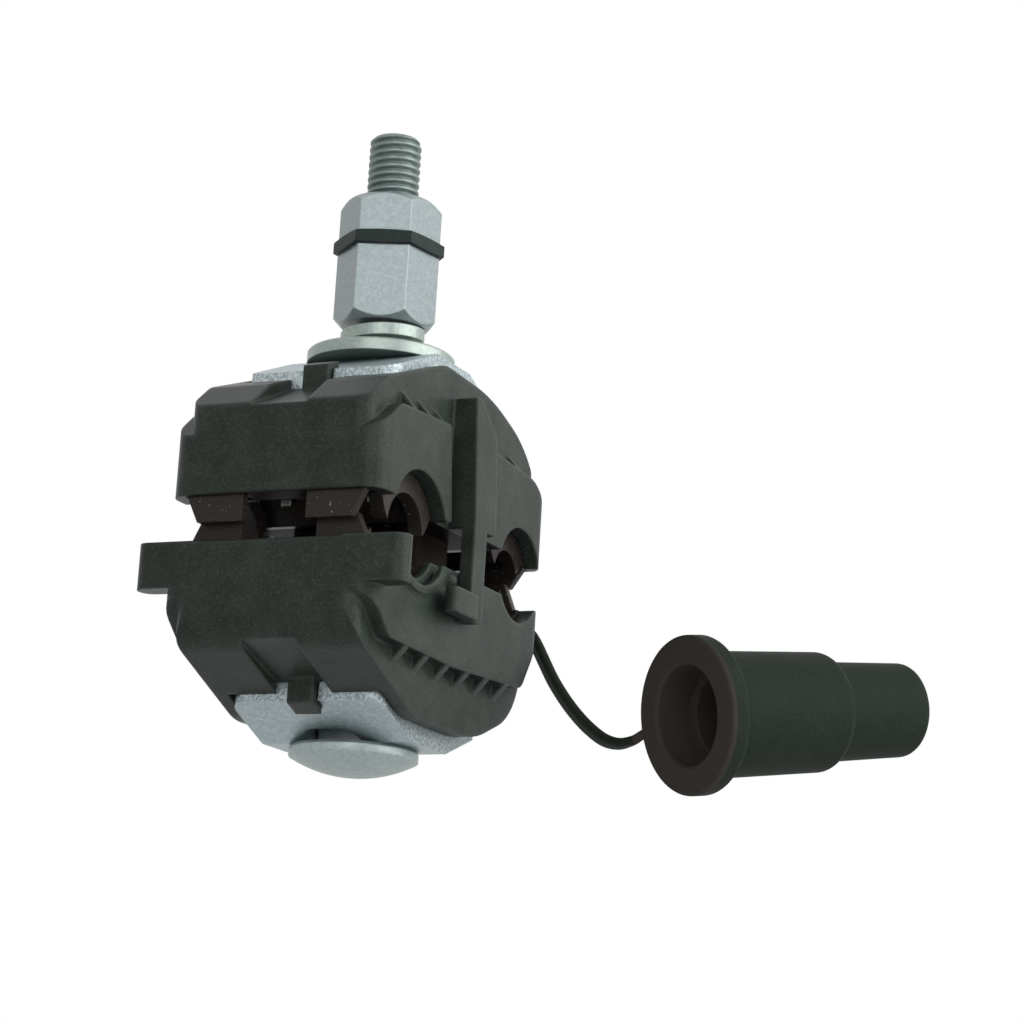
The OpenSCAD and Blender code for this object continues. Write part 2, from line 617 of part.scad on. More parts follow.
// Part of a main sleeve that is left off between the skirts, where the conductor comes in
module mouth_gap() translate([-mouth_half, -far - main_trough + 2.6, -far / 2])
    cube([2 * mouth_half, far, far]);
teeth_half = 6.6;
upper_wall_x = jaw_half - wall_thick - 0.1;
lower_wall_x = upper_wall_x - wall_thick - 0.4;

// Pair of skirts with slanted outer ends, from the free edge (tip) past the jaw's lip to the root
module skirts(x0, y, tip, lip, root) both_ends() along_y(y, y + skirt_thick)
    polygon([[x0, tip], [skirt_end - skirt_taper, tip], [skirt_end, lip], [skirt_end, root], [x0, root]]);

module main_seal_upper() color(rubber_black) from_bolt() {
    translate([0, -main_offset, main_z]) {
        difference() {
            intersection() {
                seal_sleeve(main_trough, jaw_half - 0.1);
                above(jaw_gap - main_z);
            }
            blade_gaps();
            mouth_gap();
        }
        seal_walls(main_trough, main_seat_r, upper_wall_x, 1);
    }
    skirts(mouth_half, upper_skirt_y, main_z - skirt_lap, jaw_gap, jaw_gap + skirt_root);
    both_ends() translate([mouth_half, upper_skirt_y, jaw_gap + 0.3])
        cube([skirt_bridge, skirt_heel_y - upper_skirt_y, skirt_root - 0.3]);
}
module main_seal_lower() color(rubber_black) from_bolt() {
    translate([0, -main_offset, main_z]) {
        difference() {
            intersection() {
                seal_sleeve(main_trough, jaw_half - 0.1);
                below(-main_z);
            }
            blade_gaps();
            mouth_gap();
        }
        seal_walls(main_trough, main_seat_r, lower_wall_x, -1);
    }
    skirts(lower_skirt_x, lower_skirt_y, main_z + skirt_lap, 0, -skirt_root);
    both_ends() translate([lower_skirt_x, lower_skirt_y, -skirt_root])
        cube([skirt_end - lower_skirt_x, skirt_heel_y - lower_skirt_y, skirt_root - 0.3]);
}
module tap_seal_upper() color(rubber_black) from_bolt() translate([0, tap_offset, tap_z]) {
    difference() {
        intersection() {
            seal_sleeve(tap_trough, jaw_half - 0.1);
            above(jaw_gap - tap_z);
        }
        blade_gaps();
    }
    seal_walls(tap_trough, tap_seat_r, upper_wall_x, 1);
}
module tap_seal_lower() color(rubber_black) from_bolt() translate([0, tap_offset, tap_z]) {
    difference() {
        intersection() {
            seal_sleeve(tap_trough, jaw_half - 0.1);
            below(-tap_z);
        }
        blade_gaps();
    }
    seal_walls(tap_trough, tap_seat_r, lower_wall_x, -1);
}

// Toothed blade that bridges the troughs; dir is 1 for the upper jaw and -1 for the lower one.
module blade(x, bar, dir) along_x(x - blade_thick / 2, x + blade_thick / 2) {
    translate([-main_offset - blade_past, min(bar, bar + dir * blade_bar)])
        square([main_offset + tap_offset + 2 * blade_past, blade_bar]);
    teeth(-main_offset, main_z, main_seat_r + tooth_clear, bar, dir);
    teeth(tap_offset, tap_z, tap_seat_r + tooth_clear, bar, dir);
}
// Row of pointed teeth that stand from the bar towards a conductor
module teeth(y, z, tip_r, bar, dir) for (i = [-1.5 : 1 : 1.5]) let (place = 2 * tooth_half * i)
    polygon([[y + place + dir * tooth_half, bar + dir * tooth_root],
        [y + place - dir * tooth_half, bar + dir * tooth_root],
        [y + place, z + dir * sqrt(pow(tip_r, 2) - pow(place, 2))]]);
module blade_upper_front() color(tinned_copper) from_bolt() blade(blade_place, upper_bar, 1);
module blade_upper_rear() color(tinned_copper) from_bolt() blade(-blade_place, upper_bar, 1);
module blade_lower_front() color(tinned_copper) from_bolt() blade(blade_place, lower_bar, -1);
module blade_lower_rear() color(tinned_copper) from_bolt() blade(-blade_place, lower_bar, -1);

// Direction of the strap at a point of its route
function strap_way(i) = unit(strap_route[min(i + 1, len(strap_route) - 1)] - strap_route[max(i - 1, 0)]);
strap_facing = [0.4, -0.9, -0.2];
// Flat strap swept along its route, with its width held in one direction.
module tether_strap() color(rubber_black) from_bolt() {
    n = len(strap_route);
    section = [for (k = [0 : 7]) let (a = 45 * k + 22.5)
        [cos(a) * strap_wide, sin(a) * strap_thick] / (2 * cos(22.5))];
    points = [for (i = [0 : n - 1])
        let (way = strap_way(i), thick = unit(cross(way, strap_facing)), wide = cross(thick, way))
        each [for (s = section) strap_route[i] + wide * s.x + thick * s.y]];
    sides = [for (i = [0 : n - 2], k = [0 : 7]) let (m = (k + 1) % 8)
        each [[8 * i + k, 8 * i + m, 8 * i + 8 + m], [8 * i + k, 8 * i + 8 + m, 8 * i + 8 + k]]];
    polyhedron(points, concat(sides, [[for (k = [7 : -1 : 0]) k]], [[for (k = [0 : 7]) 8 * (n - 1) + k]]));
}

// Rubber cap: flange, wide body, narrow closed end and a bore that steps down inside.
module end_cap() color(rubber_black) from_bolt() translate(cap_mouth) rotate([0, 90 - cap_pitch, cap_yaw])
    rotate_extrude() polygon(rounded([
        [cap_bore + cap_lead, 0, 0.4], [flange_d / 2, 0, 0.8], [flange_d / 2, flange_thick, 1],
        [cap_wide / 2, flange_thick + 0.6, 1.2], [cap_wide / 2 - cap_draft, cap_wide_length, 2.2],
        [cap_narrow / 2, cap_wide_length + cap_shoulder, 0.8], [cap_narrow / 2 - cap_draft, cap_length, 1.6],
        [0, cap_length, 0], [0, cap_length - cap_floor, 0], [cap_inner, cap_length - cap_floor, 0],
        [cap_inner, cap_bore_deep + cap_step, 0.3], [cap_mid, cap_bore_deep + cap_step, 0],
        [cap_mid, cap_bore_deep, 0.3], [cap_bore, cap_bore_deep, 0], [cap_bore, cap_lead, 0]], 5));

lower_jaw();
upper_jaw();
lower_plate();
upper_plate();
bolt();
flat_washer();
spring_washer();
shear_nut();
torque_ring();
main_seal_lower();
main_seal_upper();
tap_seal_lower();
tap_seal_upper();
blade_lower_front();
blade_lower_rear();
blade_upper_front();
blade_upper_rear();
tether_strap();
end_cap();
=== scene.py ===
# %% [markdown]
# # An insulation piercing connector
# This connector joins a branch wire to an overhead wire. Two black jaws close round both wires when
# the nut on the long bolt is tightened, and blades inside bite through the insulation.
# The CAD model gives every rigid piece in its true place, so the scene only adds the looks:
# the thread of the bolt, the rubber strap, the soft lips at the branch wire's side, and a finish
# for each material.

# %% Load the CAD frame
import math

import bmesh
import bpy
from mathutils import Matrix, Vector


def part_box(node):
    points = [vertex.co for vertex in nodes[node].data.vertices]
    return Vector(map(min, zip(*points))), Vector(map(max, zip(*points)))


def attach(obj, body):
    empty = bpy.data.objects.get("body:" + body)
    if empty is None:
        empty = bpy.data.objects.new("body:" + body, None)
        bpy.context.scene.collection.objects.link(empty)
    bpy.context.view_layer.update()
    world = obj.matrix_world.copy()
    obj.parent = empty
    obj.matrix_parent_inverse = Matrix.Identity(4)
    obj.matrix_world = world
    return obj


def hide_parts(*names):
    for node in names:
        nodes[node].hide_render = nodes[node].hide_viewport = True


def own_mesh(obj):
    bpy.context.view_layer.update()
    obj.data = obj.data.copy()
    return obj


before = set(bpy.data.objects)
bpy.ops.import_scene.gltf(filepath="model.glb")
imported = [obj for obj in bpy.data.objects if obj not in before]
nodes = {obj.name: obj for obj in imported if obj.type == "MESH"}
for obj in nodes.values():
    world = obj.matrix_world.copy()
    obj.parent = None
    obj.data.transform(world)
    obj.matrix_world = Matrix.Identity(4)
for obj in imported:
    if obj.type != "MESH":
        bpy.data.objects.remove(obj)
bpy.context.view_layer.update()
MM = 0.001
BOLT_Y = 0.021
print("CAD nodes:", len(nodes))

# %% [markdown]
# ## Camera
# The camera stands to the right of the connector and a little below it, which is why the undersides
# of the washers show. Its place, lens and tilt were solved from sizes that are known on the object:
# the 17 mm hexagon, the M10 thread and the round washers.

# %% Camera
CAMERA_PLACE = Vector((272.55, -491.56, -123.50)) * MM
CAMERA_RIGHT = Vector((0.9077, 0.4155, 0.0580))
CAMERA_UP = Vector((0.0428, -0.2292, 0.9724))
LENS_MM = 110.76
SENSOR_MM = 36
CLIP_START = 0.05

camera_data = bpy.data.cameras.new("photo_camera")
camera_data.lens = LENS_MM
camera_data.sensor_width = SENSOR_MM
camera_data.clip_start = CLIP_START
camera = bpy.data.objects.new("photo_camera", camera_data)
bpy.context.scene.collection.objects.link(camera)
camera_back = CAMERA_RIGHT.cross(CAMERA_UP).normalized()
camera_up = camera_back.cross(CAMERA_RIGHT).normalized()
turn = Matrix((CAMERA_RIGHT.normalized(), camera_up, camera_back)).transposed()
camera.matrix_world = Matrix.Translation(CAMERA_PLACE) @ turn.to_4x4()
bpy.context.scene.camera = camera
print("camera distance from the bolt, m:", round((CAMERA_PLACE - Vector((0, BOLT_Y, 0))).length, 3))

# %% [markdown]
# ## Helpers for node trees
# Colours are written as sRGB hex values, as a paint chart gives them, and Blender's shaders need
# them linear. One function adds a node to a tree, sets its options, and fills or links its inputs.
# It serves the materials and the Geometry Nodes tree alike, and short names stand for the nodes
# that are used most: a calculation, a step between two values, a mix of two colours.

# %% Colour and node helpers
# An edge is painted paler, as wear and as a painted highlight, where the rounded normal leaves the plain
# one: the cosines between which that sets in, and how strong it gets
EDGE_RANGE = (0.99, 0.75)
EDGE_SHARE = 0.6
# How far the roughness varies with the grain
ROUGH_SPREAD = 0.1


def linear(hex_colour):
    """An sRGB hex colour as a linear RGBA tuple."""
    channels = [int(hex_colour[i:i + 2], 16) / 255 for i in (1, 3, 5)]
    return tuple(c / 12.92 if c <= 0.04045 else ((c + 0.055) / 1.055) ** 2.4 for c in channels) + (1,)


def add(tree, kind, inputs=(), **settings):
    """One new node. inputs is a dict of values, or of sockets to link from; settings are options."""
    node = tree.nodes.new(kind)
    for option, value in settings.items():
        setattr(node, option, value)
    for key, value in dict(inputs).items():
        if isinstance(value, bpy.types.NodeSocket):
            tree.links.new(value, node.inputs[key])
        else:
            node.inputs[key].default_value = value
    return node


def per_metre(size_mm):
    """The texture scale at which one cell of a pattern is size_mm wide."""
    return 1 / (size_mm * MM)


def calc(tree, operation, *values):
    """The result of one Math node."""
    return add(tree, "ShaderNodeMath", enumerate(values), operation=operation).outputs[0]


def vector_calc(tree, operation, *values):
    """The outputs of one Vector Math node: a vector first, a value second."""
    return add(tree, "ShaderNodeVectorMath", enumerate(values), operation=operation).outputs


def ramp(tree, value, start, end, low=0.0, high=1.0):
    """A value that goes from low to high while the given one goes from start to end."""
    return add(tree, "ShaderNodeMapRange", {"Value": value, "From Min": start, "From Max": end,
                                            "To Min": low, "To Max": high}).outputs["Result"]


def mix(tree, factor, first, second):
    """A colour between two others, each a hex value or a socket."""
    first, second = (linear(c) if isinstance(c, str) else c for c in (first, second))
    return add(tree, "ShaderNodeMix", {"Factor": factor, 6: first, 7: second},
               data_type="RGBA").outputs[2]


def noise(tree, place, size_mm, detail, roughness):
    """A noise texture's value, with features about size_mm wide."""
    return add(tree, "ShaderNodeTexNoise", {"Vector": place, "Scale": per_metre(size_mm), "Detail": detail,
                                            "Roughness": roughness}).outputs["Fac"]


def edges(tree, edge_mm):
    """The normal with edges rounded for the light, how far an edge is painted paler as wear and highlight,
    and the plain normal.
    """
    rounded = add(tree, "ShaderNodeBevel", {"Radius": edge_mm * MM}, samples=4).outputs["Normal"]
    flat = add(tree, "ShaderNodeNewGeometry").outputs["Normal"]
    facing = vector_calc(tree, "DOT_PRODUCT", rounded, flat)["Value"]
    return rounded, ramp(tree, facing, *EDGE_RANGE, high=EDGE_SHARE), flat


def new_finish(name):
    """A new material's tree and shader, the place on the object, and the material itself."""
    material = bpy.data.materials.new(name)
    material.use_nodes = True
    tree = material.node_tree
    return tree, tree.nodes["Principled BSDF"], add(tree, "ShaderNodeTexCoord").outputs["Object"], material


def finish_surface(tree, shader, colour, roughness, grain, strength, depth_mm, normal):
    """Link a colour, a roughness that varies with the grain, and the grain's relief to the shader."""
    relief = add(tree, "ShaderNodeBump", {"Height": grain, "Strength": strength, "Distance": depth_mm * MM,
                                          "Normal": normal}).outputs["Normal"]
    rough = ramp(tree, grain, 0.0, 1.0, roughness - ROUGH_SPREAD, roughness + ROUGH_SPREAD)
    for socket, name in ((colour, "Base Color"), (rough, "Roughness"), (relief, "Normal")):
        tree.links.new(socket, shader.inputs[name])


# %% [markdown]
# ## Moulded finishes
# The jaws are glass-filled nylon. It comes out of the mould nearly black, with a fine eroded grain
# and a faint grey bloom where the glass fibres lie near the skin. Sharp corners of a moulding are
# never quite sharp, so a Bevel node rounds them for the light, and the same node paints the edges
# paler, as wear and as a painted highlight. The faces in the gap between the jaws are painted dark
# and brownish as painted shade, and the cap's open end and bore are painted a paler brownish grey as
# painted light; both are without gloss. The rubber and the plastic ring share the recipe with other
# numbers, and pale specks are painted on the seals as glints.

# %% Places where shade and light are painted
# The gap between the jaws at rest, as a box
GAP_MIDDLE = (0, 18.75 * MM, 0)
GAP_HALF = (18.3 * MM, 35.25 * MM, 4.5 * MM)
GAP_SHARE = 0.9
# The open end of the cap, the way its bore runs, and the sizes of its rim and bore
CAP_MOUTH = (56 * MM, 45.5 * MM, -26.25 * MM)
CAP_AXIS = (0.538, 0.8283, 0.1564)
CAP_RIM = 16.5 * MM
CAP_BORE = 10.2 * MM
CAP_FACE_DEEP = 0.8 * MM
CAP_BORE_DEEP = 20 * MM
# How softly the tone changes across, along the rim, and along the bore
ACROSS_SOFT, RIM_SOFT, BORE_SOFT = 0.2 * MM, 0.3 * MM, MM
GAP_SOFT = 0.01


def below(tree, value, edge, soft):
    """1 where value is under edge, 0 where it is over, with a soft step between."""
    return ramp(tree, value, edge + soft, edge - soft)


# The gap between the jaws takes a dark brownish painted shade.
def in_gap(tree, place):
    """GAP_SHARE inside the gap between the jaws, else 0."""
    off = vector_calc(tree, "SUBTRACT", place, GAP_MIDDLE)[0]
    share = vector_calc(tree, "DIVIDE", off, GAP_HALF)[0]
    ways = add(tree, "ShaderNodeSeparateXYZ", {0: vector_calc(tree, "ABSOLUTE", share)[0]}).outputs
    farthest = calc(tree, "MAXIMUM", calc(tree, "MAXIMUM", ways["X"], ways["Y"]), ways["Z"])
    return calc(tree, "MULTIPLY", below(tree, farthest, 1.0, GAP_SOFT), GAP_SHARE)


# The cap's open end and bore take a paler brownish painted light.
def in_cap_mouth(tree, place):
    """1 on the cap's open end and in its bore, else 0."""
    off = vector_calc(tree, "SUBTRACT", place, CAP_MOUTH)[0]
    along = vector_calc(tree, "DOT_PRODUCT", off, CAP_AXIS)["Value"]
    away = vector_calc(tree, "LENGTH", vector_calc(tree, "CROSS_PRODUCT", off, CAP_AXIS)[0])["Value"]
    face = calc(tree, "MULTIPLY", below(tree, away, CAP_RIM, ACROSS_SOFT),
                below(tree, along, CAP_FACE_DEEP, RIM_SOFT))
    bore = calc(tree, "MULTIPLY", below(tree, away, CAP_BORE, ACROSS_SOFT),
                below(tree, along, CAP_BORE_DEEP, BORE_SOFT))
    return calc(tree, "MAXIMUM", face, bore)


# %% Moulded finishes
MOULDED_RELIEF_MM = 0.1
# The values of the noise between which the bloom sets in, and at which a speck is full
BLOOM_RANGE = (0.35, 0.7)
SPECK_FULL = 0.75


def moulded(name, dark, pale, grain_mm, mottle_mm, roughness, edge_mm, edge_colour, bump, sheen,
            cloud=0.3, speck_from=0.52, painted_shade_and_light_mask=None, painted_shade_and_light_colour="#221a18"):
    """A moulded polymer: two mottled tones, a fine grain, edges painted paler as wear and highlight, and
    painted shade and light where a mask says.
    """
    tree, shader, place, material = new_finish(name)
    grain = noise(tree, place, grain_mm, detail=3.0, roughness=0.65)
    mottle = noise(tree, place, mottle_mm, detail=4.0, roughness=0.6)
    both = add(tree, "ShaderNodeMath", {0: ramp(tree, mottle, *BLOOM_RANGE), 1: cloud,
                                        2: ramp(tree, grain, speck_from, SPECK_FULL)},
               operation="MULTIPLY_ADD", use_clamp=True).outputs[0]
    rounded, rubbed_and_highlit, _ = edges(tree, edge_mm)
    # Edges take the edge colour, paler as wear and as a painted highlight
    colour = mix(tree, rubbed_and_highlit, mix(tree, both, dark, pale), edge_colour)
    shader.inputs["Specular IOR Level"].default_value = sheen
    # Where the mask says, a painted colour replaces the mottle and the gloss goes: painted shade in the
    # jaws' gap, painted light in the cap's mouth.
    if painted_shade_and_light_mask:
        painted_shade_and_light_share = painted_shade_and_light_mask(tree, place)
        colour = mix(tree, painted_shade_and_light_share, colour, painted_shade_and_light_colour)
        tree.links.new(ramp(tree, painted_shade_and_light_share, 0.0, 1.0, sheen, 0.0), shader.inputs["Specular IOR Level"])
    finish_surface(tree, shader, colour, roughness, grain, bump, MOULDED_RELIEF_MM, rounded)
    return material


# The jaws' gap is painted dark brown as painted shade.
jaw_nylon = moulded("glass_filled_nylon", "#252b26", "#414943", grain_mm=0.4, mottle_mm=6.0, roughness=0.38,
                    edge_mm=0.9, edge_colour="#5b665f", bump=0.5, sheen=0.14, cloud=0.4, painted_shade_and_light_mask=in_gap)
# The seals' rare pale specks are painted glints.
seal_rubber = moulded("seal_rubber_painted_glints", "#312d2a", "#a5b0ad", grain_mm=0.7, mottle_mm=2.0,
                      roughness=0.3, edge_mm=0.3, edge_colour="#4e4a47", bump=0.5, sheen=0.12,
                      cloud=0.0, speck_from=0.66)
# The tap seals are the seal rubber painted darker as painted shade, with the same painted glints.
tap_rubber_painted_shade = moulded("tap_seal_rubber_painted_shade", "#241f1e", "#a5b0ad", grain_mm=0.7, mottle_mm=2.0,
                     roughness=0.3, edge_mm=0.3, edge_colour="#3f3d3c", bump=0.5, sheen=0.12,
                     cloud=0.0, speck_from=0.66)
# The cap's open end and bore are painted a paler brownish grey as painted light.
cap_rubber = moulded("cap_rubber", "#222922", "#2d342d", grain_mm=0.6, mottle_mm=5.0, roughness=0.6,
                     edge_mm=0.5, edge_colour="#414942", bump=0.35, sheen=0.05,
                     painted_shade_and_light_mask=in_cap_mouth, painted_shade_and_light_colour="#45413d")
ring_plastic = moulded("ring_polyamide", "#252e2c", "#323d3b", grain_mm=0.5, mottle_mm=2.0, roughness=0.45,
                       edge_mm=0.3, edge_colour="#4d5957", bump=0.3, sheen=0.1)

# %% [markdown]
# ## Metal finishes
# The pressure plates are hot-dip galvanised: the zinc freezes in pale crystals, and their upright
# sheared edges are rough and pitted. The bolt and washers are zinc plated, and the bolt's thread is
# given a darker tone. The shear nut is a cast light alloy, tumbled until its faces are covered with
# tiny dents. The dents of the nut and the plates carry painted glints, and on every metal the edges
# are painted paler, as wear and as a painted highlight.

# %% Metal finishes
METAL_EDGE_MM = 0.35
METAL_RELIEF_MM = 0.15
CRYSTAL_SHARE = 0.25
# The values between which the pale tone, the painted glints on dents and the pits of a sheared face set in
TONE_RANGE = (0.4, 0.9)
DENT_GLINT_RANGE = (0.6, 0.7)
PIT_RANGE = (0.44, 0.56)
# A face is upright where its normal's height is small
UPRIGHT_RANGE = (0.7, 0.5)
PIT_DARK, PIT_PALE = "#7a8587", "#bcc5c8"
PIT_RELIEF = 1.2
DARKER_THREAD_COLOUR = "#56645f"
DARKER_THREAD_SHARE = 0.6
DARKER_THREAD_EDGE = MM
# A height in metres that no piece reaches
NO_DARKER_THREAD = 1.0


def plated(name, dark, pale, crystal_mm, grit_mm, metallic, roughness, edge_colour, bump, sheared=0.0,
           darker_above_z=NO_DARKER_THREAD, painted_dent_glint=0.0):
    """A coated metal: crystals of two tones, painted glints on dents, edges painted paler as wear and
    highlight, sheared upright faces, and a darker tone above a given height."""
    tree, shader, place, material = new_finish(name)
    shader.inputs["Metallic"].default_value = metallic
    crystal = add(tree, "ShaderNodeTexVoronoi", {"Vector": place, "Scale": per_metre(crystal_mm),
                                                 "Randomness": 1.0}).outputs["Color"]
    shade = add(tree, "ShaderNodeSeparateColor", {"Color": crystal}).outputs["Red"]
    grit = noise(tree, place, grit_mm, detail=4.0, roughness=0.7)
    mixed = calc(tree, "MULTIPLY_ADD", shade, CRYSTAL_SHARE, grit)
    rounded, worn_and_highlit, flat = edges(tree, METAL_EDGE_MM)
    # Edges are painted paler as wear and highlight, and dents carry painted glints
    bright = calc(tree, "MAXIMUM", worn_and_highlit, ramp(tree, grit, *DENT_GLINT_RANGE, high=painted_dent_glint))
    colour = mix(tree, bright, mix(tree, ramp(tree, mixed, *TONE_RANGE), dark, pale), edge_colour)
    steep = calc(tree, "ABSOLUTE", add(tree, "ShaderNodeSeparateXYZ", {0: flat}).outputs["Z"])
    torn = ramp(tree, steep, *UPRIGHT_RANGE, high=sheared)
    colour = mix(tree, torn, colour, mix(tree, ramp(tree, grit, *PIT_RANGE), PIT_DARK, PIT_PALE))
    # Above the given height, where the thread is, the colour is made darker
    height = add(tree, "ShaderNodeSeparateXYZ", {0: place}).outputs["Z"]
    thread_darkening = ramp(tree, height, darker_above_z - DARKER_THREAD_EDGE, darker_above_z + DARKER_THREAD_EDGE, high=DARKER_THREAD_SHARE)
    colour = mix(tree, thread_darkening, colour, DARKER_THREAD_COLOUR)
    strength = calc(tree, "MULTIPLY_ADD", torn, PIT_RELIEF, bump)
    finish_surface(tree, shader, colour, roughness, grit, strength, METAL_RELIEF_MM, rounded)
    return material


THREAD_LONG = 50 * MM
THREAD_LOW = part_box("bolt")[1].z - THREAD_LONG
plate_steel = plated("galvanised_plate", "#8f9b9f", "#abb7bb", crystal_mm=0.7, grit_mm=0.6, metallic=0.85,
                     roughness=0.4, edge_colour="#c4cdd0", bump=0.4, sheared=0.6, painted_dent_glint=0.6)
bolt_steel = plated("zinc_plated_steel", "#909d9c", "#abb7b5", crystal_mm=0.6, grit_mm=0.4, metallic=0.7,
                    roughness=0.45, edge_colour="#ccd5d4", bump=0.1, darker_above_z=THREAD_LOW)
washer_steel = plated("zinc_washer_steel", "#8b9791", "#a1aca6", crystal_mm=0.6, grit_mm=0.4, metallic=0.6,
                      roughness=0.38, edge_colour="#bac3bd", bump=0.1)
nut_metal = plated("tumbled_alloy", "#7a8587", "#8e9899", crystal_mm=0.8, grit_mm=0.25, metallic=0.5,
                   roughness=0.32, edge_colour="#c3cacb", bump=0.06, painted_dent_glint=0.8)
blade_copper = plated("tinned_copper", "#8f918a", "#b1b4ac", crystal_mm=1.0, grit_mm=0.5, metallic=0.9,
                      roughness=0.35, edge_colour="#c8c6bb", bump=0.2)

# %% Give each node its finish
NODE_FINISH = {
    "lower_jaw": jaw_nylon, "upper_jaw": jaw_nylon,
    "lower_plate": plate_steel, "upper_plate": plate_steel,
    "bolt": bolt_steel, "flat_washer": washer_steel, "spring_washer": washer_steel,
    "shear_nut": nut_metal, "torque_ring": ring_plastic,
    "main_seal_lower": seal_rubber, "main_seal_upper": seal_rubber,
    "tap_seal_lower": tap_rubber_painted_shade, "tap_seal_upper": tap_rubber_painted_shade,
    "blade_lower_front": blade_copper, "blade_lower_rear": blade_copper,
    "blade_upper_front": blade_copper, "blade_upper_rear": blade_copper,
    "tether_strap": cap_rubber, "end_cap": cap_rubber,
}
for node_name, finish in NODE_FINISH.items():
    slots = nodes[node_name].data.materials
    slots.clear()
    slots.append(finish)
print("finishes given to", len(NODE_FINISH), "nodes")

# %% [markdown]
# ## Bolt with a rolled thread
# The bolt is an M10 coach bolt: a shallow domed head, a square neck that sits in the slot of the
# lower plate, and a thread with 1.5 mm between its crests. The head and shank are turned from a
# profile. The thread follows a rule, so Geometry Nodes make it: every point of a fine cylinder
# moves in or out by how far it is, up and round the bolt, from the nearest crest.

# %% Bolt blank: head, neck and shank
BOLT_R = 5.0 * MM
HEAD_R = 12.1 * MM
HEAD_HIGH = 5.3 * MM
HEAD_RIM = 2.0 * MM
HEAD_EDGE = 0.6 * MM
NECK_HIGH = 6.1 * MM
THREAD_DEPTH = 0.8 * MM
THREAD_PITCH = 1.5 * MM
TURNED_STEPS = 96
DOME_STEPS = 12
BROKEN_EDGE = 0.1 * MM
NECK_SINK = 0.05 * MM
SHARP_FROM = math.radians(35)
head_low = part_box("bolt")[0].z
bolt_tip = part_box("bolt")[1].z
head_top = head_low + HEAD_HIGH


def turned(bm, profile, centre_y):
    """A closed solid of revolution about the bolt's axis, from (radius, height) points, low to high."""
    rings = []
    for radius, height in profile:
        if radius == 0:
            rings.append([bm.verts.new((0, centre_y, height))])
        else:
            angles = [math.tau * i / TURNED_STEPS for i in range(TURNED_STEPS)]
            rings.append([bm.verts.new((radius * math.cos(a), centre_y + radius * math.sin(a), height))
                          for a in angles])
    for low, high in zip(rings, rings[1:]):
        for i in range(TURNED_STEPS):
            j = (i + 1) % TURNED_STEPS
            corners = [low[i % len(low)], low[j % len(low)], high[j % len(high)], high[i % len(high)]]
            bm.faces.new(list(dict.fromkeys(corners)))


dome_rise = HEAD_HIGH - HEAD_RIM
dome_r = (HEAD_R ** 2 + dome_rise ** 2) / (2 * dome_rise)
dome_half = math.asin(HEAD_R / dome_r)
dome_angles = [dome_half * i / DOME_STEPS for i in range(DOME_STEPS)]
dome = [(dome_r * math.sin(a), head_low + dome_r * (1 - math.cos(a))) for a in dome_angles]
rim_low = head_top - HEAD_RIM
shank_top = THREAD_LOW + THREAD_DEPTH
profile = dome + [
    (HEAD_R - BROKEN_EDGE, rim_low - BROKEN_EDGE), (HEAD_R, rim_low + BROKEN_EDGE),
    (HEAD_R, head_top - HEAD_EDGE), (HEAD_R - HEAD_EDGE, head_top), (BOLT_R, head_top),
    (BOLT_R, THREAD_LOW), (BOLT_R - THREAD_DEPTH, shank_top), (0, shank_top)]

bm = bmesh.new()
turned(bm, profile, BOLT_Y)
neck_place = Matrix.Translation((0, BOLT_Y, head_top + NECK_HIGH / 2 - NECK_SINK))
neck_size = Matrix.Diagonal((2 * BOLT_R, 2 * BOLT_R, NECK_HIGH, 1))
bmesh.ops.create_cube(bm, size=1, matrix=neck_place @ neck_size)
bmesh.ops.recalc_face_normals(bm, faces=bm.faces)
bolt_mesh = bpy.data.meshes.new("bolt_blank")
bm.to_mesh(bolt_mesh)
bm.free()
bolt_mesh.set_sharp_from_angle(angle=SHARP_FROM)
bolt_blank = bpy.data.objects.new("bolt_blank", bolt_mesh)
bpy.context.scene.collection.objects.link(bolt_blank)
print("bolt head low, tip, mm:", round(head_low / MM, 2), round(bolt_tip / MM, 2))

# %% Geometry Nodes tree of the thread
THREAD_SIDES = 64
# Where a crest ends and a root starts, in turns from the middle of the crest
CREST_END = 0.13
ROOT_START = 0.46
thread_tree = bpy.data.node_groups.new("rolled_thread", "GeometryNodeTree")
thread_sockets = {}
for socket_name, kind in (("Blank", "NodeSocketGeometry"), ("Pitch", "NodeSocketFloat"),
                          ("Depth", "NodeSocketFloat"), ("Crest Radius", "NodeSocketFloat"),
                          ("Length", "NodeSocketFloat"), ("Segments", "NodeSocketInt"),
                          ("Middle", "NodeSocketVector"), ("Finish", "NodeSocketMaterial")):
    thread_sockets[socket_name] = thread_tree.interface.new_socket(socket_name, in_out="INPUT",
                                                                   socket_type=kind)
thread_tree.interface.new_socket("Bolt", in_out="OUTPUT", socket_type="NodeSocketGeometry")
given = add(thread_tree, "NodeGroupInput").outputs
rod = add(thread_tree, "GeometryNodeMeshCylinder",
          {"Vertices": THREAD_SIDES, "Side Segments": given["Segments"], "Radius": given["Crest Radius"],
           "Depth": given["Length"]})
where = add(thread_tree, "GeometryNodeInputPosition").outputs[0]
apart = add(thread_tree, "ShaderNodeSeparateXYZ", {0: where}).outputs
